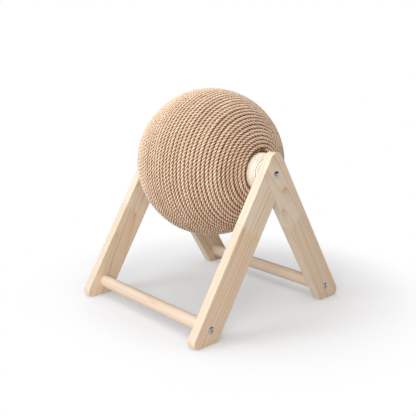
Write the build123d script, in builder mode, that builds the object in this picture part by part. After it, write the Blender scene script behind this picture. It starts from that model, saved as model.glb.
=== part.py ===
from build123d import *
import math
import os

# Cat scratching ball: a rope-wound ball that turns on a fixed wooden axle
# between two A-frames. Millimetres. X runs along the axle with the near
# frame at +X, Z is up, and the origin lies on the floor under the ball.

# Ball and its rope
ball_diameter = 200.0
rope_diameter = 9.25
rope_sides = 4
turn_gap = 0.47
seat_gap = 0.15
tail_lean = 0.25
hub_gap = 1.4

# Timber of the frames
leg_width = 37.6
leg_thickness = 13.0
leg_half_angle = 31.6
apex_rounding = 12.0
foot_rounding = 8.0
crossing_height = 196.0
axle_drop = 3.0
foot_screw_height = 18.8

# Round rods: the axle and the two stretchers
rod_diameter = 17.0

# Raised countersunk wood screws
head_diameter = 9.0
head_crown = 0.9
head_angle = 90.0
screw_diameter = 4.0
screw_length = 42.0
hole_clearance = 0.2
thread_clearance = 0.05
pilot_spare = 1.0

# Core of the ball and the sleeve through it
land_radius = 27.5
core_bands = 8
sleeve_wall = 2.5
sleeve_clearance = 1.0
glue_clearance = 0.1

# Hub collars, the cotton cord round them and the thrust washers
collar_length = 19.3
drum_radius = 21.5
drum_length = 8.0
nose_radius = 12.5
nose_lip = 0.1
bearing_clearance = 0.05
cord_diameter = 4.1
cord_sides = 4
cord_turns = 4
cord_tail_lean = 0.5
cord_wrap_angle = 80.0
washer_radius = 13.0
washer_thickness = 1.0
washer_clearance = 0.3
end_play = 0.4


def seat_depth(diameter, sides):
    # A wound tube has a corner outward, so it rests on a flat or on a corner
    return diameter / 2 * (math.cos(math.pi / sides) if sides % 2 else 1)


# Sizes that follow from the ones above
axle_height = crossing_height - axle_drop
rod_radius = rod_diameter / 2
rope_track = ball_diameter / 2 - rope_diameter / 2
core_radius = rope_track - seat_depth(rope_diameter, rope_sides) - seat_gap
land_x = math.sqrt(core_radius**2 - land_radius**2)
sleeve_bore = rod_radius + sleeve_clearance
sleeve_radius = sleeve_bore + sleeve_wall
nose_end = land_x + collar_length
half_gap = nose_end + end_play + washer_thickness
rod_length = 2 * half_gap
drum_end = land_x + drum_length
cord_start_x = land_x + seat_gap + cord_diameter / 2
cord_end_x = nose_end - nose_lip - cord_diameter / 2
cord_depth = seat_depth(cord_diameter, cord_sides)
cord_drum_radius = drum_radius + seat_gap + cord_depth
cord_bend_radius = (cord_end_x - drum_end) / math.sin(math.radians(cord_wrap_angle))
cord_arc_height = cord_drum_radius - cord_bend_radius
axle_centre = Vector(0, 0, axle_height)
axle_axis = Axis((0, 0, axle_height), (1, 0, 0))
profile_plane = Plane(origin=axle_centre, x_dir=(1, 0, 0), z_dir=(0, -1, 0))

os.makedirs("parts", exist_ok=True)


def write(part, name):
    part.label = name
    export_step(part, "parts/" + name + ".step")


# A-frame legs: each pair is half-lapped at the top, with its faces flush


def leg_outline():
    # Corners: the peak, the lap's far corner, and both ends of the foot
    half_width_across = leg_width / 2 / math.cos(math.radians(leg_half_angle))
    peak_rise = leg_width / 2 / math.sin(math.radians(leg_half_angle))
    foot_spread = crossing_height * math.tan(math.radians(leg_half_angle))
    with BuildSketch() as outline:
        with BuildLine():
            Polyline(
                (0, crossing_height + peak_rise),
                (-half_width_across, crossing_height),
                (foot_spread - half_width_across, 0),
                (foot_spread + half_width_across, 0),
                close=True,
            )
        make_face()
        fillet(outline.vertices().sort_by(Axis.Y)[-1], apex_rounding)
        fillet(outline.vertices().sort_by(Axis.X)[-1], foot_rounding)
    return outline.sketch


leg_slope = Vector(math.sin(math.radians(leg_half_angle)), -math.cos(math.radians(leg_half_angle)))
foot_screw = Vector(0, crossing_height) + leg_slope * ((foot_screw_height - crossing_height) / leg_slope.Y)
inner_face = Plane.YZ.offset(half_gap)
lap_face = Plane.YZ.offset(half_gap + leg_thickness / 2)
outer_face = Plane.YZ.offset(half_gap + leg_thickness)


def make_leg(keeps_outer_half):
    # The near frame's leg on the +Y side
    outline = leg_outline()
    other_outline = mirror(outline, about=Plane.YZ)
    with BuildPart() as leg:
        with BuildSketch(inner_face):
            add(outline)
        extrude(amount=leg_thickness)
        with BuildSketch(inner_face if keeps_outer_half else lap_face):
            add(other_outline)
        extrude(amount=leg_thickness / 2, mode=Mode.SUBTRACT)
        with Locations(outer_face):
            with Locations((0, axle_height), (foot_screw.X, foot_screw.Y)):
                CounterSinkHole(
                    screw_diameter / 2 + hole_clearance,
                    head_diameter / 2 + hole_clearance,
                    counter_sink_angle=head_angle,
                )
    return leg.part


upper_leg = make_leg(True)
lower_leg = mirror(make_leg(False), about=Plane.XZ)
write(upper_leg, "near_rear_leg")
write(lower_leg, "near_front_leg")
write(upper_leg.rotate(Axis.Z, 180), "far_front_leg")
write(lower_leg.rotate(Axis.Z, 180), "far_rear_leg")

# Axle and stretchers: three equal rods with a pilot hole in each end
rod_places = {
    "axle": (0, axle_height),
    "front_stretcher": (-foot_screw.X, foot_screw.Y),
    "rear_stretcher": (foot_screw.X, foot_screw.Y),
}
crown_radius = (head_diameter**2 / 4 + head_crown**2) / (2 * head_crown)
pilot_depth = screw_length - leg_thickness + pilot_spare
for name, place in rod_places.items():
    with BuildPart() as rod:
        with BuildSketch(Plane.YZ.offset(-half_gap)):
            with Locations(place):
                Circle(rod_radius)
        extrude(amount=rod_length)
        for end in (-half_gap, half_gap - pilot_depth):
            with BuildSketch(Plane.YZ.offset(end)):
                with Locations(place):
                    Circle(screw_diameter / 2 + thread_clearance)
            extrude(amount=pilot_depth, mode=Mode.SUBTRACT)
    write(rod.part, name)


# Screws: one through each lap into the axle, one through each foot


def make_screws(places):
    cone_depth = (head_diameter - screw_diameter) / 2 / math.tan(math.radians(head_angle / 2))
    with BuildPart() as screws:
        for across, up in places:
            on_axis = Plane(origin=(half_gap + leg_thickness, across, up), x_dir=(1, 0, 0), z_dir=(0, -1, 0))
            with BuildSketch(on_axis):
                with BuildLine():
                    Polyline(
                        (head_crown, 0),
                        (-screw_length, 0),
                        (-screw_length, screw_diameter / 2),
                        (-cone_depth, screw_diameter / 2),
                        (0, head_diameter / 2),
                    )
                    RadiusArc((0, head_diameter / 2), (head_crown, 0), crown_radius)
                make_face()
            revolve(axis=Axis(on_axis.origin, (1, 0, 0)))
    return screws.part


apex_screw = make_screws([(0, axle_height)])
foot_screws = make_screws([(-foot_screw.X, foot_screw.Y), (foot_screw.X, foot_screw.Y)])
write(apex_screw, "near_apex_screw")
write(apex_screw.rotate(Axis.Z, 180), "far_apex_screw")
write(foot_screws, "near_foot_screws")
write(foot_screws.rotate(Axis.Z, 180), "far_foot_screws")


# Winding of a tube of few sides round a surface of revolution


def tangent_at(track, turn):
    step = 1e-5
    return (track(turn + step) - track(turn - step)).normalized()


def square_to(direction, along):
    return (direction - along * direction.dot(along)).normalized()


def biarc_joint(start, start_tangent, end, end_tangent):
    # Where two arcs of equal tangent length meet
    chord = end - start
    a = 2 * (1 - start_tangent.dot(end_tangent))
    b = 2 * chord.dot(start_tangent + end_tangent)
    reach = (math.sqrt(b * b + 4 * a * chord.dot(chord)) - b) / (2 * a)
    return (start + start_tangent * reach + end - end_tangent * reach) * 0.5


def tail_points(point, along, down, diameter):
    # A bend of one diameter, and a straight run of one diameter
    halfway = point + down * diameter + (along - down) * (diameter * math.sqrt(0.5))
    turned = point + (along + down) * diameter
    return halfway, turned, turned + down * diameter


def wound_line(track, turns, diameter, first_down, last_down):
    # Centre line: tail, biarcs of half a turn, tail
    first = tangent_at(track, 0)
    last = tangent_at(track, turns)
    with BuildLine() as line:
        down = square_to(first_down, first)
        halfway, turned, end = tail_points(track(0), -first, down, diameter)
        Line(end, turned)
        ThreePointArc(turned, halfway, track(0))
        for half_turn in range(turns * 2):
            a = half_turn / 2
            b = a + 1 / 2
            joint = biarc_joint(track(a), tangent_at(track, a), track(b), tangent_at(track, b))
            arc = TangentArc(track(a), joint, tangent=tangent_at(track, a))
            TangentArc(joint, track(b), tangent=arc % 1)
        down = square_to(last_down, last)
        halfway, turned, end = tail_points(track(turns), last, down, diameter)
        ThreePointArc(track(turns), halfway, turned)
        Line(turned, end)
    return line.wires()[0]


def wind(track, line, outward, down, diameter, sides):
    # One unbroken tube, a corner outward
    along = tangent_at(track, 0)
    down = square_to(down, along)
    across = along.cross(down)
    corner = across * outward.dot(across) + along * outward.dot(down)
    with BuildPart() as tube:
        with BuildSketch(Plane(origin=line @ 0, x_dir=corner, z_dir=line % 0)):
            RegularPolygon(diameter / 2, sides)
        sweep(path=line)
    return tube.part


def tail_hole(line, first, diameter, sides):
    # What a tail needs of the piece it dives into
    edges = line.edges()
    tail = edges[:2] if first else edges[-2:]
    start = tail[0]
    with BuildPart() as hole:
        with BuildSketch(Plane(origin=start @ 0, z_dir=start % 0)):
            RegularPolygon(diameter / 2 + glue_clearance, sides, major_radius=False)
        sweep(path=Wire(tail))
    return hole.part


def least_gap(line, turns, diameter):
    # Least distance between stretches more than half a turn apart
    count = round(turns * 36)
    points = [line @ (i / count) for i in range(count + 1)]
    places = [line.length * i / count for i in range(count + 1)]
    closest = line.length
    for i, point in enumerate(points):
        loop = math.tau * math.hypot(point.Y, point.Z - axle_height)
        for j in range(i + 1, len(points)):
            apart = places[j] - places[i]
            if apart > 1.5 * loop:
                break
            if apart > 0.5 * loop:
                closest = min(closest, (points[j] - point).length)
    return closest - diameter


# Rope: one length wound from pole to pole
first_rope_radius = cord_drum_radius + cord_diameter / 2 + hub_gap + rope_diameter / 2
first_angle = math.asin(first_rope_radius / rope_track)
wound_angle = math.pi - 2 * first_angle
rope_turns = int(wound_angle * rope_track / (rope_diameter + turn_gap))


def rope_track_at(turn):
    polar = first_angle + wound_angle * turn / rope_turns
    spin = math.tau * turn
    side = Vector(0, math.sin(spin), math.cos(spin))
    return axle_centre + Vector(rope_track * math.cos(polar)) + side * (rope_track * math.sin(polar))


up = Vector(0, 0, 1)
rope_out = (rope_track_at(0) - axle_centre).normalized()
rope_end_out = (rope_track_at(rope_turns) - axle_centre).normalized()
rope_first_down = -rope_out - up * tail_lean
rope_last_down = -rope_end_out - up * tail_lean
rope_line = wound_line(rope_track_at, rope_turns, rope_diameter, rope_first_down, rope_last_down)
rope = wind(rope_track_at, rope_line, rope_out, rope_first_down, rope_diameter, rope_sides)
write(rope, "sisal_rope")
print("rope turns", rope_turns, "least gap", round(least_gap(rope_line, rope_turns, rope_diameter), 2))
section = rope_sides / 2 * (rope_diameter / 2) ** 2 * math.sin(math.tau / rope_sides)
print("rope volume over section times length", round(rope.volume / (section * rope_line.length), 4))

# Core: two halves turned in flat bands, glued round the sleeve


def make_core_half(side):
    land_angle = math.asin(land_radius / core_radius)
    bands = core_bands // 2
    with BuildPart() as half:
        with BuildSketch(profile_plane):
            with BuildLine():
                corners = []
                for band in range(bands + 1):
                    polar = math.pi / 2 - (math.pi / 2 - land_angle) * band / bands
                    corners.append((side * core_radius * math.cos(polar), core_radius * math.sin(polar)))
                Polyline(
                    (0, sleeve_radius + glue_clearance),
                    *corners,
                    (side * land_x, sleeve_radius + glue_clearance),
                    close=True,
                )
            make_face()
        revolve(axis=axle_axis)
        add(tail_hole(rope_line, side > 0, rope_diameter, rope_sides), mode=Mode.SUBTRACT)
    return half.part


write(make_core_half(1), "near_core_half")
write(make_core_half(-1), "far_core_half")

# Sleeve through the core, from land to land
with BuildPart() as sleeve:
    with BuildSketch(Plane.YZ.offset(-land_x)):
        with Locations((0, axle_height)):
            Circle(sleeve_radius)
            Circle(sleeve_bore, mode=Mode.SUBTRACT)
    extrude(amount=2 * land_x)
write(sleeve.part, "core_sleeve")


# Cotton cord: one length wound along the collar's drum and down its shoulder


def cord_track_at(turn):
    drum = drum_end - cord_start_x
    bend_length = cord_bend_radius * math.radians(cord_wrap_angle)
    run = (drum + bend_length) * turn / cord_turns
    bend = max(0, run - drum) / cord_bend_radius
    along = cord_start_x + min(run, drum) + cord_bend_radius * math.sin(bend)
    radius = cord_arc_height + cord_bend_radius * math.cos(bend)
    spin = math.tau * turn
    return axle_centre + Vector(along, radius * math.sin(spin), radius * math.cos(spin))


cord_last_down = Vector(-1, 0, 0) - up * cord_tail_lean
cord_line = wound_line(cord_track_at, cord_turns, cord_diameter, -up, cord_last_down)
cord = wind(cord_track_at, cord_line, up, -up, cord_diameter, cord_sides)
write(cord, "near_hub_cord")
write(mirror(cord, about=Plane.YZ), "far_hub_cord")
print("cord turns", cord_turns, "least gap", round(least_gap(cord_line, cord_turns, cord_diameter), 2))

# Hub collar: drum on the core's land, rounded shoulder for the cord, nose
shoulder = cord_bend_radius - cord_depth - seat_gap
shoulder_end = drum_end + math.sqrt(shoulder**2 - (nose_radius - cord_arc_height) ** 2)
with BuildPart() as collar:
    with BuildSketch(profile_plane):
        with BuildLine():
            Polyline(
                (nose_end, rod_radius + bearing_clearance),
                (land_x, rod_radius + bearing_clearance),
                (land_x, drum_radius),
                (drum_end, drum_radius),
            )
            RadiusArc((drum_end, drum_radius), (shoulder_end, nose_radius), shoulder)
            Polyline(
                (shoulder_end, nose_radius),
                (nose_end, nose_radius),
                (nose_end, rod_radius + bearing_clearance),
            )
        make_face()
    revolve(axis=axle_axis)
    add(tail_hole(cord_line, True, cord_diameter, cord_sides), mode=Mode.SUBTRACT)
    add(tail_hole(cord_line, False, cord_diameter, cord_sides), mode=Mode.SUBTRACT)
write(collar.part, "near_hub_collar")
write(mirror(collar.part, about=Plane.YZ), "far_hub_collar")

# Thrust washer between each nose and its frame
with BuildPart() as washer:
    with BuildSketch(inner_face):
        with Locations((0, axle_height)):
            Circle(washer_radius)
            Circle(rod_radius + washer_clearance, mode=Mode.SUBTRACT)
    extrude(amount=-washer_thickness)
write(washer.part, "near_washer")
write(mirror(washer.part, about=Plane.YZ), "far_washer")
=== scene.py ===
import math
from collections import namedtuple

import bpy
import numpy as np
from mathutils import Euler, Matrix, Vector


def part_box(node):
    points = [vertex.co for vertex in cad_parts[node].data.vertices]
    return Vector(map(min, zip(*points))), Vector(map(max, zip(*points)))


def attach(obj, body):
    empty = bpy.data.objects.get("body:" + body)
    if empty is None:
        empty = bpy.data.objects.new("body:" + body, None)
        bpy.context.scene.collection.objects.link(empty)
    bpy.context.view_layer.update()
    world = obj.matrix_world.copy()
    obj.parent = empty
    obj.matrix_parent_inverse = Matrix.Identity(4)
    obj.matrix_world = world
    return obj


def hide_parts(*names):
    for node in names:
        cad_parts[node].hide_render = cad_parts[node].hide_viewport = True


# Looks of the cat scratching ball. Metres, in the CAD frame: X runs along the
# axle with the near frame at +X, Z is up, the floor is at 0.

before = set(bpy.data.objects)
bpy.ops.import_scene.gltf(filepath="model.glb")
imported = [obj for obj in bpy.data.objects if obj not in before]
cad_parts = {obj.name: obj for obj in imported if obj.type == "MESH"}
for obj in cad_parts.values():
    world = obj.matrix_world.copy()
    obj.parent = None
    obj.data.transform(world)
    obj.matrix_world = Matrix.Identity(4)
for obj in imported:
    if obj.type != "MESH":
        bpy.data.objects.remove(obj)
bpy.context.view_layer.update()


def srgb(red, green, blue):
    """A colour in screen values of 0 to 255, as the linear RGBA that nodes take."""

    def linear(value):
        value /= 255
        return value / 12.92 if value <= 0.04045 else ((value + 0.055) / 1.055) ** 2.4

    return (linear(red), linear(green), linear(blue), 1.0)


# Places that the frame gives
AXLE_LOW, AXLE_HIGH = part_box("axle")
AXLE = (AXLE_LOW + AXLE_HIGH) / 2
FACE_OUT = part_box("near_rear_leg")[1].x
BALL_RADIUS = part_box("sisal_rope")[1].z - AXLE.z
CORE_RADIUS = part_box("near_core_half")[1].z - AXLE.z
LAND_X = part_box("near_core_half")[1].x
DRUM_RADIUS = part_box("near_hub_collar")[1].z - AXLE.z
NOSE_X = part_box("near_hub_collar")[1].x

# Legs: their lean, the height where their centre lines cross, and how far from a
# leg's middle its narrow faces start
LEG_LEAN = math.radians(31.6)
CROSSING = 0.196
EDGE_FACE = 0.0182

# Sanded edges: width of the round, its steps, the least turn of an edge that gets one,
# and what counts as one flat face before it
EASING = 0.0009
EASING_STEPS = 3
SHARP_TURN = math.radians(50)
FLAT_TURN = math.radians(1)
LEG_WELD = 0.00001

# Wood tones: early wood, late wood and the line of a ring. Then the tone of a leg's
# narrow faces, and the tint of the board past a finger joint
PINE = (srgb(237, 222, 200), srgb(228, 203, 170), srgb(190, 148, 108))
DOWEL = (srgb(217, 199, 179), srgb(214, 190, 163), srgb(202, 167, 136))
EDGE_TONE = srgb(212, 205, 190)
JOINT_TINT = srgb(248, 226, 208)

# How much the fibres darken legs and rods, and how far the tones of the narrow faces,
# of the board past a joint and of its glue line cover what lies below
LEG_RAYS = 0.5
ROD_RAYS = 0.35
EDGE_COVER = 0.7
JOINT_COVER = 0.35
GLUE_COVER = 0.5

# Width of a year's ring, and how many rings it is out by at most
LEG_RING = 0.0042
ROD_RING = 0.0035
RING_WAVER = 2.5

# Noise in wood, repeats a metre: through the board, across it and along it
WANDER_SCALE = (26, 26, 5)
WAVER_SCALE = (70, 70, 3)
FIBRE_SCALE = (900, 900, 22)
BROAD_SCALE = (60, 60, 3)

# Finger joints: pitch and length of a finger, and half the width of the glue line
FINGER_PITCH = 0.0042
FINGER_LENGTH = 0.0100
FINGER_GLUE = 0.00022

# A stem's pith line, seen from the middle of the board cut from it: how far it lies
# through and across the board, its tilt, and how far that of the next stem lies off it
Stem = namedtuple("Stem", "through across tilt step_through step_across")

# A leg: the side it leans to, its stem, where its finger joint is, and its noise seed
Leg = namedtuple("Leg", "side stem joint seed")
LEGS = {
    "near_front_leg": Leg(-1, Stem(0.040, 0.030, 0.012, 0.004, -0.006), 0.088, 1.7),
    "near_rear_leg": Leg(1, Stem(0.034, 0.012, 0.040, 0.006, 0.014), 0.088, 4.3),
    "far_front_leg": Leg(-1, Stem(-0.042, 0.020, -0.05, 0.01, 0.01), 0.105, 7.9),
    "far_rear_leg": Leg(1, Stem(-0.048, -0.014, 0.05, -0.01, 0.012), 0.060, 11.2),
}

# Laid rope: strands in it, how much wider than touching they are, and the turns
# that a strand's fibres make over one diameter of its length
STRANDS = 3
STRAND_FILL = 1.02
FIBRE_TWIST = 0.45

# Unevenness: how far a rope's width, its place in diameters, its twist and a strand's
# width wander, the most of it, and how many diameters apart it changes
WIDTH_WANDER = 0.035
PLACE_WANDER = 0.035
TWIST_WANDER = 0.25
STRAND_WANDER = 0.05
WANDER_MOST = 1.6
KNOT_GAP = 7

# Points a turn on which a track is measured
TRACK_POINTS = 720

# A laid rope as modelled: its turns, diameter and lay, the sides and the step of a
# strand's tube, and the seed of its unevenness
Laid = namedtuple("Laid", "turns diameter lay sides step seed")

# Sisal rope, wound from pole to pole round a hole at each. Its ends dive towards the
# core over a part of a turn. Tones of light, middle and dark fibres
ROPE_DIAMETER = 0.0055
ROPE_PITCH = 0.0051
ROPE_LAY = 0.0144
ROPE_HOLE = 0.0250
ROPE_TUCK = 0.06
ROPE_DIVE = 1.6 * ROPE_DIAMETER
ROPE_LINE = BALL_RADIUS - ROPE_DIAMETER / 2
ROPE_FIRST = math.asin((ROPE_HOLE + ROPE_DIAMETER / 2) / ROPE_LINE)
ROPE_TURNS = round(ROPE_LINE * (math.pi - 2 * ROPE_FIRST) / ROPE_PITCH)
ROPE = Laid(ROPE_TURNS, ROPE_DIAMETER, ROPE_LAY, sides=6, step=0.0015, seed=5)
SISAL = (srgb(255, 248, 232), srgb(248, 225, 198), srgb(188, 146, 106))

# Painted shade in the grooves between the turns: its tint, and the radii where it is full and where it
# ends
GROOVE_SHADE = srgb(162, 120, 86)
GROOVE_DEEP = BALL_RADIUS - 0.0020
GROOVE_END = BALL_RADIUS - 0.0004

# Hairs that stick out of the rope: count, radius, how much they thin out, where they
# leave the strands, least and most length and rise, and the angle of their arch
HAIRS = 2600
HAIR_RADIUS = 0.00011
HAIR_THINNING = 0.6
HAIR_ROOT = BALL_RADIUS - 0.0013
HAIR_LENGTH = (0.0025, 0.0075)
HAIR_RISE = (0.0002, 0.0012)
HAIR_ARCH = 2.4

# Angle of a hair to the turns of the rope with its spread, the spread of its curl, and
# the seed of them all
HAIR_SLANT = 0.6
HAIR_SPREAD = 0.7
HAIR_CURL = 0.35
HAIR_SEED = 21

# Glued wrap between core and rope, whose dark tone is painted shade between the turns
WRAP_OUTER = BALL_RADIUS - 0.62 * ROPE_DIAMETER
WRAP_INNER = CORE_RADIUS + 0.0004
WRAP_HOLE = ROPE_HOLE + 0.0012
WRAP_STEPS = 64
WRAP_SEGMENTS = 128

# Cotton cord, wound along a hub's drum and down its shoulder, and its tones
CORD_DIAMETER = 0.0031
CORD_PITCH = 0.0029
CORD_LAY = 0.0085
CORD_LIFT = 0.0001
CORD_START = LAND_X + CORD_DIAMETER / 2 + 0.0002
DRUM_END = LAND_X + 0.0080
SHOULDER_SWEEP = math.radians(84)
SHOULDER = (NOSE_X - CORD_DIAMETER / 2 - DRUM_END) / math.sin(SHOULDER_SWEEP)
CORD_TURNS = (DRUM_END - LAND_X - CORD_DIAMETER / 2 + SHOULDER * SHOULDER_SWEEP) / CORD_PITCH
CORD = Laid(CORD_TURNS, CORD_DIAMETER, CORD_LAY, sides=8, step=0.0007, seed=9)
COTTON = (srgb(255, 253, 246), srgb(253, 249, 238), srgb(242, 234, 216))

# Screws: rings and spokes of a head's grid, the shank as a share of the head, the tip
# as a share of the shank, and the length kept for the taper between them
HEAD_RINGS = 26
HEAD_SPOKES = 96
SHANK_SHARE = 4 / 9
TIP_SHARE = 0.1
TIP_ROOM = 0.003
SCREW_WELD = 0.000001

# Power of the curve that a head's dome follows
DOME_CURVE = 2.4

# Cross recess: half its width, reach of its arms, depth, run of its sloping walls, and
# the share of the depth that is lost towards the end of an arm and left at its rim
RECESS_HALF = 0.00062
RECESS_ARM = 0.0024
RECESS_DEPTH = 0.0016
RECESS_WALL = 0.0002
RECESS_END = 0.0005
RECESS_LOSS = 0.45
RECESS_RIM = 0.5

# Floor: what the camera sees, what light bounces off, how far the contact shade
# reaches, and the ring about a centre where the floor fades to plain white
FLOOR_SIZE = 14
FLOOR_DROP = 0.0001
FLOOR_GLOW = 0.34
FLOOR_SEEN = (0.60, 0.61, 0.62, 1)
FLOOR_SHADE = (0.25, 0.26, 0.27, 1)
FLOOR_BOUNCE = (0.62, 0.62, 0.62, 1)
FLOOR_CONTACT = 0.20
FLOOR_CENTRE = (0.0, 0.03, 0.0)
FLOOR_NEAR = 0.16
FLOOR_FAR = 0.32
WHITE = (1, 1, 1, 1)
BLACK = (0, 0, 0, 1)

# Studio walls: the way to the bright side, and the tones of both sides
SKY_BRIGHT_WAY = (-0.35, -0.70, 0.62)
SKY_DIM = (0.07, 0.045, 0.03, 1)
SKY_BRIGHT = (0.80, 0.80, 0.82, 1)

# Lamps, all aimed at a point below the axle
LAMP_AIM = (0.0, 0.0, 0.12)
LAMPS = {
    "key": {"place": (-0.50, -1.35, 1.00), "size": 0.9, "power": 10.4, "tint": (0.97, 1.0, 1.03)},
    "top": {"place": (0.0, 0.0, 1.5), "size": 1.0, "power": 5.2, "tint": (1.0, 1.0, 1.0)},
    "fill": {"place": (1.05, -1.25, 0.70), "size": 1.0, "power": 15.8, "tint": (1.0, 0.945, 0.88)},
}

# Camera, as fitted to the photo
CAMERA_LENS = 56.4
CAMERA_SENSOR = 36
CAMERA_PLACE = (0.6472, -0.5951, 0.3505)
CAMERA_TILT = math.radians(75.82)
CAMERA_HEADING = math.radians(47.66)


# Shader helpers


class Nodes:
    """A node tree and short calls that add nodes to it."""

    def __init__(self, tree):
        self.tree = tree

    def set(self, node, values):
        for socket, value in values.items():
            if isinstance(value, bpy.types.NodeSocket):
                self.tree.links.new(value, node.inputs[socket])
            elif value is not None:
                node.inputs[socket].default_value = value
        return node

    def node(self, kind, values=None, **properties):
        node = self.tree.nodes.new("ShaderNode" + kind)
        for key, value in properties.items():
            setattr(node, key, value)
        return self.set(node, values or {})

    def object_place(self):
        return self.node("TexCoord").outputs["Object"]

    def axes(self, vector):
        outputs = self.node("SeparateXYZ", {0: vector}).outputs
        return outputs[0], outputs[1], outputs[2]

    def distance(self, vector, centre):
        node = self.node("VectorMath", {0: vector, 1: centre}, operation="DISTANCE")
        return node.outputs["Value"]

    def spread(self, value, low, high, how="LINEAR"):
        """0 at low, 1 at high."""
        values = {"Value": value, "From Min": low, "From Max": high}
        return self.node("MapRange", values, interpolation_type=how).outputs[0]

    def math(self, operation, a, b=None, c=None):
        return self.node("Math", {0: a, 1: b, 2: c}, operation=operation).outputs[0]

    def mix(self, factor, a, b, blend="MIX"):
        """Colour a, or b where the factor is 1. The node has its colours in sockets 6 and 7."""
        values = {0: factor, 6: a, 7: b}
        return self.node("Mix", values, data_type="RGBA", blend_type=blend).outputs[2]

    def ramp(self, factor, *stops):
        node = self.node("ValToRGB", {0: factor})
        elements = node.color_ramp.elements
        while len(elements) < len(stops):
            elements.new(0.5)
        for element, (place, colour) in zip(elements, stops):
            element.position = place
            element.color = colour
        return node.outputs[0]

    def noise(self, vector, scale, detail=2.0, roughness=0.5):
        values = {"Vector": vector, "Scale": scale, "Detail": detail, "Roughness": roughness}
        return self.node("TexNoise", values).outputs[0]

    def mapping(self, vector, **values):
        sockets = {key.capitalize(): value for key, value in values.items()}
        return self.node("Mapping", {"Vector": vector, **sockets}).outputs[0]

    def bump(self, height, strength, distance):
        values = {"Height": height, "Strength": strength, "Distance": distance}
        return self.node("Bump", values).outputs[0]


class Shader(Nodes):
    """A new material, with its surface node."""

    def __init__(self, name, **surface):
        self.material = bpy.data.materials.new(name)
        self.material.use_nodes = True
        super().__init__(self.material.node_tree)
        self.surface = self.tree.nodes["Principled BSDF"]
        for socket, value in surface.items():
            self.surface.inputs[socket.replace("_", " ")].default_value = value

    def finish(self, colour, normal=None, roughness=None):
        self.set(self.surface, {"Base Color": colour, "Normal": normal, "Roughness": roughness})
        return self.material


Spots = namedtuple("Spots", "scale detail")
Ridges = namedtuple("Ridges", "scale detail strength depth")


def mottled(name, roughness, spots, tones, spread=0.2, ridges=None):
    """A plain stuff whose spots wander between two tones, with a bump where ridges are given."""
    s = Shader(name, Roughness=roughness)
    place = s.object_place()
    low, high = tones
    colour = s.ramp(s.noise(place, spots.scale, spots.detail), (0.5 - spread, low), (0.5 + spread, high))
    if not ridges:
        return s.finish(colour)
    height = s.noise(place, ridges.scale, ridges.detail)
    return s.finish(colour, s.bump(height, ridges.strength, ridges.depth))


# Pieces


def dress(piece, *materials):
    piece.data.materials.clear()
    for material in materials:
        piece.data.materials.append(material)


def add_piece(name, points, faces, material, smooth=True):
    mesh = bpy.data.meshes.new(name)
    mesh.from_pydata(points, [], faces)
    mesh.polygons.foreach_set("use_smooth", [smooth] * len(mesh.polygons))
    piece = bpy.data.objects.new(name, mesh)
    bpy.context.scene.collection.objects.link(piece)
    dress(piece, material)
    return piece


def revolve(name, profile, segments, material):
    """A closed outline of (x, radius) pairs turned about the axle."""
    spin = math.tau * np.arange(segments) / segments
    points = []
    faces = []
    for x, radius in profile:
        points += [(x, AXLE.y + radius * math.sin(a), AXLE.z + radius * math.cos(a)) for a in spin]
    count = len(profile)
    for i in range(count):
        a = i * segments
        b = (i + 1) % count * segments
        for j in range(segments):
            after = (j + 1) % segments
            faces.append((a + j, a + after, b + after, b + j))
    return add_piece(name, points, faces, material)


# Wood


def board_space(s, turn, origin):
    """Places in a board's own frame: X through it, Y across it, Z down its length."""
    location = -(Euler(turn).to_matrix() @ Vector(origin))
    return s.mapping(s.object_place(), location=location, rotation=turn)


def finger_joint(s, across, along, joint):
    """Two masks: the board past the joint, and the glue line, which zigzags across the board."""
    saw = s.math("PINGPONG", across, FINGER_PITCH / 2)
    reach = s.math("MULTIPLY_ADD", saw, -FINGER_LENGTH / (FINGER_PITCH / 2), joint)
    gap = s.math("SUBTRACT", along, reach)
    past = s.math("GREATER_THAN", gap, 0.0)
    glue = s.math("LESS_THAN", s.math("ABSOLUTE", gap), FINGER_GLUE)
    return past, glue


def growth_rings(s, local, past, stem, ring, seed):
    """A value that climbs from 0 to 1 through each year's ring about the pith line."""
    through, across, along = s.axes(local)
    slow = s.mapping(local, location=(seed, seed, seed), scale=WANDER_SCALE)
    wander = s.math("MULTIPLY_ADD", s.noise(slow, 1.0, 1.5), 2 * ring, -ring)
    x = s.math("ADD", s.math("MULTIPLY_ADD", past, stem.step_through, -stem.through), through)
    x = s.math("MULTIPLY_ADD", along, stem.tilt, x)
    y = s.math("ADD", s.math("MULTIPLY_ADD", past, stem.step_across, -stem.across), across)
    squares = s.math("ADD", s.math("POWER", x, 2.0), s.math("POWER", y, 2.0))
    radius = s.math("ADD", s.math("SQRT", squares), wander)
    uneven = s.noise(s.mapping(local, location=(seed, 0, 0), scale=WAVER_SCALE), 1.0, 0.0)
    waver = s.math("MULTIPLY", uneven, RING_WAVER)
    return s.math("FRACT", s.math("MULTIPLY_ADD", radius, 1 / ring, waver))


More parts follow.
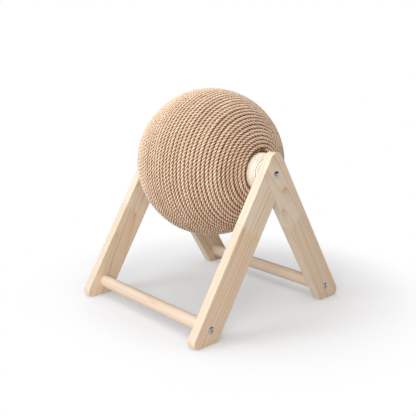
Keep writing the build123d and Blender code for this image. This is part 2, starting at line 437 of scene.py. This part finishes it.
def board(name, turn, origin, stem, ring, tones, seed, rays, joint=None):
    """Softwood cut from a round stem, or from two that meet in a finger joint."""
    s = Shader(name, Roughness=0.55)
    local = board_space(s, turn, origin)
    _, across, along = s.axes(local)
    past, glue = finger_joint(s, across, along, joint) if joint else (0.0, 0.0)
    rings = growth_rings(s, local, past, stem, ring, seed)

    # Through a year: pale early wood, late wood, then the ring's dark line
    early, late, dark = tones
    stops = ((0.0, late), (0.07, early), (0.55, early), (0.86, late), (0.95, dark), (1.0, late))
    colour = s.ramp(rings, *stops)

    # Fibres, broad patches without rings, the narrow faces and the joint
    fine = s.noise(s.mapping(local, location=(0, seed, 0), scale=FIBRE_SCALE), 1.0, 3.0)
    colour = s.mix(s.math("MULTIPLY_ADD", fine, rays, -0.25 * rays), colour, dark)
    broad = s.noise(s.mapping(local, location=(seed, seed, 0), scale=BROAD_SCALE), 1.0, 1.0)
    colour = s.mix(s.math("MULTIPLY_ADD", broad, 1.6, -0.15), early, colour)
    narrow = s.math("GREATER_THAN", s.math("ABSOLUTE", across), EDGE_FACE)
    colour = s.mix(s.math("MULTIPLY", narrow, EDGE_COVER), colour, EDGE_TONE)
    if joint:
        colour = s.mix(s.math("MULTIPLY", past, JOINT_COVER), colour, JOINT_TINT, "MULTIPLY")
        colour = s.mix(s.math("MULTIPLY", glue, GLUE_COVER), colour, dark)

    height = s.math("ADD", fine, s.math("MULTIPLY", rings, 0.25))
    rough = s.math("MULTIPLY_ADD", fine, 0.15, 0.45)
    return s.finish(colour, s.bump(height, 0.18, 0.0004), rough)


def ease_edges(piece):
    """Sanded edges: the flat faces meet in a small round."""
    weld = piece.modifiers.new("weld", "WELD")
    weld.merge_threshold = LEG_WELD
    flats = piece.modifiers.new("flats", "DECIMATE")
    flats.decimate_type = "DISSOLVE"
    flats.angle_limit = FLAT_TURN
    bevel = piece.modifiers.new("easing", "BEVEL")
    bevel.width = EASING
    bevel.segments = EASING_STEPS
    bevel.limit_method = "ANGLE"
    bevel.angle_limit = SHARP_TURN
    bevel.use_clamp_overlap = False
    bevel.harden_normals = True


def dress_legs():
    for name, leg in LEGS.items():
        low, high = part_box(name)
        middle = ((low.x + high.x) / 2, AXLE.y, CROSSING)
        turn = (math.pi - leg.side * LEG_LEAN, 0.0, 0.0)
        grain = {"seed": leg.seed, "rays": LEG_RAYS, "joint": leg.joint}
        pine = board(name + "_pine", turn, middle, leg.stem, LEG_RING, PINE, **grain)
        dress(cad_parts[name], pine)
        ease_edges(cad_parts[name])


def dress_rods():
    turn = (0.0, math.radians(-90), 0.0)
    for number, name in enumerate(("axle", "front_stretcher", "rear_stretcher")):
        low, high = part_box(name)
        stem = Stem(0.03, 0.012 * (number - 1), 0.02, 0.0, 0.0)
        grain = {"seed": 2.0 + number, "rays": ROD_RAYS}
        wood = board(name + "_wood", turn, (low + high) / 2, stem, ROD_RING, DOWEL, **grain)
        dress(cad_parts[name], wood)


# Rope and cord


def fibre_material(name, tones, streaks, ridge, depth):
    """Twisted fibre: streaks that wind along the strands, and tones that wander slowly."""
    s = Shader(name, Roughness=0.92, Sheen_Weight=0.12, Sheen_Roughness=0.6)
    along, around, _ = s.axes(s.node("UVMap", uv_map="fibre").outputs[0])
    turned = s.math("MULTIPLY_ADD", along, FIBRE_TWIST, around)

    def noise_by(lengthwise, crosswise, detail, roughness=0.5):
        values = {0: s.math("MULTIPLY", along, lengthwise), 1: s.math("MULTIPLY", turned, crosswise)}
        return s.noise(s.node("CombineXYZ", values).outputs[0], 1.0, detail, roughness)

    light, middle, dark = tones
    fine = noise_by(0.7, streaks, 3.0, 0.65)
    uneven = noise_by(0.35, 3.0, 2.0)
    slow = noise_by(0.045, 0.0, 2.0)
    colour = s.ramp(fine, (0.30, dark), (0.47, middle), (0.66, light))
    colour = s.mix(s.math("MULTIPLY_ADD", uneven, 1.3, -0.35), colour, middle)
    colour = s.mix(s.math("MULTIPLY_ADD", slow, 0.9, -0.3), colour, dark, "MULTIPLY")
    return s, colour, s.bump(fine, ridge, depth)


def sisal_material():
    """The rope's fibre, darkened by painted shade in the grooves between strands and turns."""
    s, colour, normal = fibre_material("sisal_fibre", SISAL, streaks=34, ridge=0.8, depth=0.0004)
    # Painted shade: the colour darkens where the fibre lies deep in the grooves
    height = s.distance(s.object_place(), AXLE)
    outside = s.spread(height, GROOVE_DEEP, GROOVE_END)
    colour = s.mix(outside, s.mix(1.0, colour, GROOVE_SHADE, "MULTIPLY"), colour)
    return s.finish(colour, normal)


def cotton_material():
    s, colour, normal = fibre_material("cotton_fibre", COTTON, streaks=20, ridge=0.4, depth=0.0002)
    return s.finish(colour, normal)


def unit_rows(vectors):
    return vectors / np.linalg.norm(vectors, axis=1)[:, None]


def run_along(line):
    """Length of a line up to each of its points."""
    return np.concatenate([[0], np.cumsum(np.linalg.norm(np.diff(line, axis=0), axis=1))])


def tube(name, centres, outward, side, radii, sides, material):
    """A closed tube. Its rings of points start opposite the outward direction."""
    count = len(centres)
    angles = math.pi + math.tau * np.arange(sides) / sides
    ring = outward[:, None] * np.cos(angles)[:, None] + side[:, None] * np.sin(angles)[:, None]
    points = (centres[:, None] + ring * radii[:, None, None]).reshape(-1, 3)
    i, j = np.meshgrid(np.arange(count - 1), np.arange(sides), indexing="ij")
    after = (j + 1) % sides
    start = i * sides
    end = (i + 1) * sides
    faces = np.stack([start + j, start + after, end + after, end + j], -1)
    first = list(range(sides))[::-1]
    last = [(count - 1) * sides + k for k in range(sides)]
    return add_piece(name, points.tolist(), faces.reshape(-1, 4).tolist() + [first, last], material)


# Rows of the baked map: how much of a turn's length and height a row has room for
ROW_LENGTH = 1.05
ROW_FILL = 0.98


def map_tube(piece, centres, sides, diameter, turn):
    """Maps of a tube: fibre runs along it, a diameter to a unit, and OFBake lays its turns in rows."""
    i, j = np.meshgrid(np.arange(len(centres) - 1), np.arange(sides), indexing="ij")

    # The corners of a face go (i, j), (i, j + 1), (i + 1, j + 1), (i + 1, j)
    ahead = i[..., None] + np.array([0, 0, 1, 1])
    beside = j[..., None] + np.array([0, 1, 1, 0])
    u = run_along(centres)[ahead] / diameter
    v = beside / sides
    row = np.floor(turn[i])[..., None]
    sheet_u = (turn[ahead] - row) / ROW_LENGTH
    sheet_v = (row + v * ROW_FILL) / math.ceil(turn[-1])
    caps = np.zeros((2 * sides, 2))
    layers = piece.data.uv_layers
    for name, pair in (("fibre", (u, v)), ("OFBake", (sheet_u, sheet_v))):
        values = np.concatenate([np.stack(pair, -1).reshape(-1, 2), caps])
        layers.new(name=name).data.foreach_set("uv", values.astype(np.float32).ravel())
    layers.active = layers["fibre"]


def even_steps(track, laid):
    """Points of a track at even steps: run, turn, place, outward and sideways direction."""
    coarse = np.linspace(0, laid.turns, int(laid.turns * TRACK_POINTS))
    line, _ = track(coarse)
    length = run_along(line)
    run = np.linspace(0, length[-1], int(length[-1] / laid.step))
    turn = np.interp(run, length, coarse)
    line, outward = track(turn)
    along = unit_rows(np.gradient(line, axis=0))
    outward = unit_rows(outward - along * np.sum(outward * along, 1)[:, None])
    return run, turn, line, outward, np.cross(along, outward)


def lay_strands(name, track, laid, material):
    """Strands of a laid rope along a wound track. Right-hand lay."""
    rng = np.random.default_rng(laid.seed)
    run, turn, line, outward, side = even_steps(track, laid)
    knots = np.linspace(0, run[-1], int(run[-1] / (KNOT_GAP * laid.diameter)) + 2)

    def wander(amount):
        draws = rng.standard_normal(len(knots)).clip(-WANDER_MOST, WANDER_MOST)
        return amount * np.interp(run, knots, draws)

    swell = 1 + wander(WIDTH_WANDER)
    sway = wander(PLACE_WANDER * laid.diameter)
    slip = wander(TWIST_WANDER)
    orbit = laid.diameter / 2 / (1 + math.sin(math.pi / STRANDS))
    thick = laid.diameter / 2 - orbit
    made = []
    for strand, letter in enumerate("abc"):
        angle = math.tau * (run / laid.lay + strand / STRANDS) + slip
        centres = line + side * sway[:, None]
        centres = centres + orbit * (outward * np.cos(angle)[:, None] + side * np.sin(angle)[:, None])
        radii = thick * STRAND_FILL * swell * (1 + wander(STRAND_WANDER))
        piece = tube(name + "_" + letter, centres, outward, side, radii, laid.sides, material)
        map_tube(piece, centres, laid.sides, laid.diameter, turn)
        made.append(piece)
    return made


def rope_track(turn):
    """Centre line of the rope on the ball, and the direction away from the ball's centre."""
    polar = ROPE_FIRST + (math.pi - 2 * ROPE_FIRST) * turn / ROPE_TURNS
    spin = math.tau * turn
    out = np.stack([np.cos(polar), np.sin(polar) * np.sin(spin), np.sin(polar) * np.cos(spin)], 1)
    into_end = np.maximum(ROPE_TUCK - turn, turn - ROPE_TURNS + ROPE_TUCK)
    tuck = np.clip(into_end / ROPE_TUCK, 0, 1) ** 2
    radius = ROPE_LINE - tuck * ROPE_DIVE
    return np.array(AXLE) + out * radius[:, None], out


def make_rope():
    for strand in lay_strands("sisal_strand", rope_track, ROPE, sisal_material()):
        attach(strand, "ball")
        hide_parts("sisal_rope")


def scatter_on_ball(rng):
    """Directions spread evenly over the part of the ball that the rope covers."""
    reach = math.cos(math.asin(ROPE_HOLE / BALL_RADIUS))
    height = rng.uniform(-reach, reach, HAIRS)
    spin = rng.uniform(0, math.tau, HAIRS)
    ring = np.sqrt(1 - height**2)
    return np.stack([height, ring * np.sin(spin), ring * np.cos(spin)], 1)


def hair_points(out, ahead, curl, length, rise):
    """Four rings of three points for each hair, which narrows to its tip."""
    beside = np.cross(out, ahead)
    points = []
    for step in range(4):
        run = step / 3
        place = out * HAIR_ROOT + (ahead + curl * run) * length * run
        place = unit_rows(place) * (HAIR_ROOT + rise * math.sin(run * HAIR_ARCH))
        for corner in range(3):
            angle = math.tau * corner / 3
            offset = out * math.cos(angle) + beside * math.sin(angle)
            points.append(np.array(AXLE) + place + offset * HAIR_RADIUS * (1 - HAIR_THINNING * run))
    return np.stack(points, 1).reshape(-1, 3)


def hair_faces():
    """Sides and both ends of every hair."""
    sides = []
    for step in range(3):
        for corner in range(3):
            a = step * 3 + corner
            b = step * 3 + (corner + 1) % 3
            sides.append((a, b, b + 3, a + 3))
    starts = np.arange(HAIRS) * 12
    faces = (starts[:, None, None] + np.array(sides)).reshape(-1, 4).tolist()
    faces += [(i + 2, i + 1, i) for i in starts.tolist()]
    faces += [(i + 9, i + 10, i + 11) for i in starts.tolist()]
    return faces


def make_loose_fibres():
    """Short hairs that stick out of the rope and lie across its strands."""
    rng = np.random.default_rng(HAIR_SEED)
    out = scatter_on_ball(rng)
    round_axle = unit_rows(np.cross(out, (1.0, 0.0, 0.0)))
    across = np.cross(round_axle, out)
    heading = rng.normal(HAIR_SLANT, HAIR_SPREAD, HAIRS)[:, None]
    ahead = round_axle * np.cos(heading) + across * np.sin(heading)
    curl = np.cross(out, ahead) * rng.normal(0, HAIR_CURL, HAIRS)[:, None]
    length = rng.uniform(*HAIR_LENGTH, HAIRS)[:, None]
    rise = rng.uniform(*HAIR_RISE, HAIRS)[:, None]
    points = hair_points(out, ahead, curl, length, rise)
    tones = (srgb(214, 184, 150), srgb(255, 244, 226))
    straw = mottled("loose_hair", 0.7, Spots(300, 1.0), tones, spread=0.15)
    hairs = add_piece("sisal_hairs", points.tolist(), hair_faces(), straw, smooth=False)
    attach(hairs, "ball")


def make_core_skin():
    """Glued wrap between the core and the rope, so that no daylight shows between the turns. Its dark
    tone is painted shade in the gaps.
    """
    edge = math.asin(WRAP_HOLE / WRAP_OUTER)
    angles = np.linspace(edge, math.pi - edge, WRAP_STEPS)
    profile = [(WRAP_OUTER * math.cos(a), WRAP_OUTER * math.sin(a)) for a in angles]
    profile += [(WRAP_INNER * math.cos(a), WRAP_INNER * math.sin(a)) for a in angles[::-1]]
    # Painted shade: these dark tones show in the gaps between the rope's turns
    tones = (srgb(112, 80, 54), srgb(150, 112, 78))
    glue = mottled("glue_and_shade_wrap", 0.95, Spots(220, 3.0), tones, spread=0.15)
    skin = revolve("core_wrap", profile, WRAP_SEGMENTS, glue)
    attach(skin, "ball")


def cord_track(turn):
    """Centre line of the near hub's cord: along the drum, then down the shoulder."""
    seat = DRUM_RADIUS + CORD_DIAMETER / 2 + CORD_LIFT
    run = turn * CORD_PITCH
    bend = np.clip(run - (DRUM_END - CORD_START), 0, None) / SHOULDER
    x = np.minimum(CORD_START + run, DRUM_END) + SHOULDER * np.sin(bend)
    radius = seat - SHOULDER + SHOULDER * np.cos(bend)
    spin = math.tau * turn
    line = np.stack([x, AXLE.y + radius * np.sin(spin), AXLE.z + radius * np.cos(spin)], 1)
    out = np.stack([np.sin(bend), np.cos(bend) * np.sin(spin), np.cos(bend) * np.cos(spin)], 1)
    return line, out


def far_cord_track(turn):
    """The near hub's cord, mirrored to the far hub."""
    line, out = cord_track(turn)
    return line * (-1, 1, 1), out * (-1, 1, 1)


def make_hub_cords():
    material = cotton_material()
    for end, track in (("near", cord_track), ("far", far_cord_track)):
        for strand in lay_strands(end + "_hub_cord_strand", track, CORD, material):
            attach(strand, "ball")
            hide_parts(end + "_hub_cord")


def dress_inside():
    """The collars, washers, core and sleeve keep their CAD shapes."""
    cream = (srgb(226, 212, 184), srgb(244, 234, 212))
    white = (srgb(226, 222, 212), srgb(238, 235, 227))
    brown = (srgb(150, 124, 94), srgb(186, 160, 126))
    wrap = mottled("collar_cotton", 0.8, Spots(160, 3.0), cream, ridges=Ridges(900, 2.0, 0.2, 0.0003))
    nylon = mottled("washer_nylon", 0.4, Spots(90, 2.0), white)
    pulp = mottled("core_board", 0.95, Spots(140, 4.0), brown, ridges=Ridges(700, 3.0, 0.3, 0.0005))
    for end in ("near", "far"):
        dress(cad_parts[end + "_hub_collar"], wrap)
        dress(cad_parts[end + "_washer"], nylon)
        dress(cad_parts[end + "_core_half"], pulp)
    dress(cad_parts["core_sleeve"], nylon)


# Screws


def head_height(p, q, r, crown, radius):
    """Height of a screw's head at (p, q), which is r from its middle: a dome with a cross recess."""
    dome = crown * (1 - (r / radius) ** DOME_CURVE)
    upright = min((RECESS_HALF - abs(p)) / RECESS_WALL, (RECESS_ARM - abs(q)) / RECESS_END)
    level = min((RECESS_HALF - abs(q)) / RECESS_WALL, (RECESS_ARM - abs(p)) / RECESS_END)
    inside = min(1.0, max(0.0, upright, level))
    share = 1 - RECESS_LOSS * r / RECESS_ARM if r < RECESS_ARM else RECESS_RIM
    return dome - RECESS_DEPTH * inside * share


def screw_rings(crown, radius, length):
    """Rings of (height, y, z): over the head from its middle, then down the cone and the shank."""
    shank = radius * SHANK_SHARE
    spin = [math.tau * spoke / HEAD_SPOKES for spoke in range(HEAD_SPOKES)]
    rings = []
    for ring in range(HEAD_RINGS + 1):
        r = radius * ring / HEAD_RINGS
        flat = [(r * math.cos(a), r * math.sin(a)) for a in spin]
        rings.append([(head_height(p, q, r, crown, radius), p, q) for p, q in flat])
    taper = length + shank * (1 - TIP_SHARE)
    for depth, r in ((radius - shank, shank), (length, shank), (taper, shank * TIP_SHARE)):
        rings.append([(-depth, r * math.cos(a), r * math.sin(a)) for a in spin])
    return rings


def screw_faces(rings, start):
    """Faces between the rings of one screw, triangles round its middle and the tip's flat."""
    faces = []
    for row in range(len(rings) - 1):
        a = start + row * HEAD_SPOKES
        b = a + HEAD_SPOKES
        for spoke in range(HEAD_SPOKES):
            after = (spoke + 1) % HEAD_SPOKES
            if row == 0:
                faces.append((b + spoke, b + after, start))
            else:
                faces.append((a + spoke, b + spoke, b + after, a + after))
    last = start + (len(rings) - 1) * HEAD_SPOKES
    faces.append(tuple(range(last, last + HEAD_SPOKES)))
    return faces


def screw_mesh(places, rings, out):
    """The same screw at each place, with its head towards out, which is 1 or -1."""
    points = []
    faces = []
    for base, y, z in places:
        faces += screw_faces(rings, len(points))
        points += [(base + out * height, y + p, z + q) for ring in rings for height, p, q in ring]
    return points, [face[::out] for face in faces]


def chrome_material():
    s = Shader("bright_chrome", Metallic=1.0, Roughness=0.16)
    place = s.object_place()
    tone = s.ramp(s.noise(place, 600, 2.0), (0.3, srgb(150, 152, 155)), (0.7, srgb(196, 198, 200)))
    rough = s.math("MULTIPLY_ADD", s.noise(place, 900, 2.0), 0.16, 0.06)
    return s.finish(tone, None, rough)


def screw_places(name, radius, out):
    """Middles of a node's heads on the frame's outer face: one, or two where the box is long."""
    low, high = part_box(name)
    z = (low.z + high.z) / 2
    places = [(out * FACE_OUT, low.y + radius, z)]
    if high.y - low.y > 3 * radius:
        places.append((out * FACE_OUT, high.y - radius, z))
    return places


def make_screws():
    chrome = chrome_material()
    for end, out in (("near", 1), ("far", -1)):
        for name in (end + "_apex_screw", end + "_foot_screws"):
            low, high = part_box(name)
            radius = (high.z - low.z) / 2
            crown = max(high.x, -low.x) - FACE_OUT
            length = high.x - low.x - crown - TIP_ROOM
            rings = screw_rings(crown, radius, length)
            points, faces = screw_mesh(screw_places(name, radius, out), rings, out)
            screw = add_piece("turned_" + name, points, faces, chrome)
            weld = screw.modifiers.new("weld", "WELD")
            weld.merge_threshold = SCREW_WELD
            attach(screw, "stand")
            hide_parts(name)


# Room


def make_floor():
    """White floor that keeps the shadows near the object, and fades to plain white far from it."""
    bpy.ops.mesh.primitive_plane_add(size=FLOOR_SIZE, location=(0, 0, -FLOOR_DROP))
    floor = bpy.context.object
    floor.name = "studio_floor"
    s = Shader("studio_white", Roughness=0.9)
    path = s.node("LightPath").outputs
    seen = s.math("MAXIMUM", path["Is Camera Ray"], path["Is Glossy Ray"])
    seen = s.math("MAXIMUM", seen, path["Is Transmission Ray"])
    far = s.spread(s.distance(s.object_place(), FLOOR_CENTRE), FLOOR_NEAR, FLOOR_FAR, "SMOOTHSTEP")
    far = s.math("MULTIPLY", far, seen)
    contact = s.node("AmbientOcclusion", {"Distance": FLOOR_CONTACT}, samples=8).outputs["AO"]
    near_tone = s.mix(seen, FLOOR_BOUNCE, s.mix(contact, FLOOR_SHADE, FLOOR_SEEN))
    glow = s.math("MULTIPLY_ADD", far, 1 - FLOOR_GLOW, FLOOR_GLOW)
    s.set(s.surface, {"Emission Color": WHITE, "Emission Strength": s.math("MULTIPLY", seen, glow)})
    s.set(s.surface, {"Specular IOR Level": 0.0})
    dress(floor, s.finish(s.mix(far, near_tone, BLACK)))


def make_world():
    """Soft studio, bright on one side and dim on the other. The camera sees plain white in its place."""
    world = bpy.data.worlds.new("studio")
    bpy.context.scene.world = world
    world.use_nodes = True
    n = Nodes(world.node_tree)
    place = n.node("TexCoord").outputs["Generated"]
    way = Vector(SKY_BRIGHT_WAY).normalized()
    towards = n.node("VectorMath", {0: place, 1: way}, operation="DOT_PRODUCT").outputs["Value"]
    walls = n.ramp(towards, (0.0, SKY_DIM), (1.0, SKY_BRIGHT))
    seen = n.node("LightPath").outputs["Is Camera Ray"]
    background = n.tree.nodes["Background"]
    n.set(background, {"Color": n.mix(seen, walls, WHITE), "Strength": 1.0})


def make_lamps():
    for name, lamp in LAMPS.items():
        light = bpy.data.lights.new(name, "AREA")
        light.shape = "DISK"
        light.size = lamp["size"]
        light.energy = lamp["power"]
        light.color = lamp["tint"]
        holder = bpy.data.objects.new(name, light)
        holder.location = lamp["place"]
        aim = Vector(LAMP_AIM) - Vector(lamp["place"])
        holder.rotation_euler = aim.to_track_quat("-Z", "Y").to_euler()
        bpy.context.scene.collection.objects.link(holder)


def make_camera():
    camera = bpy.data.objects.new("camera", bpy.data.cameras.new("camera"))
    camera.data.lens = CAMERA_LENS
    camera.data.sensor_width = CAMERA_SENSOR
    camera.location = CAMERA_PLACE
    camera.rotation_euler = (CAMERA_TILT, 0, CAMERA_HEADING)
    bpy.context.scene.collection.objects.link(camera)
    bpy.context.scene.camera = camera


bpy.context.scene.view_settings.view_transform = "Standard"
dress_legs()
dress_rods()
dress_inside()
make_rope()
make_loose_fibres()
make_core_skin()
make_hub_cords()
make_screws()
make_floor()
make_world()
make_lamps()
make_camera()
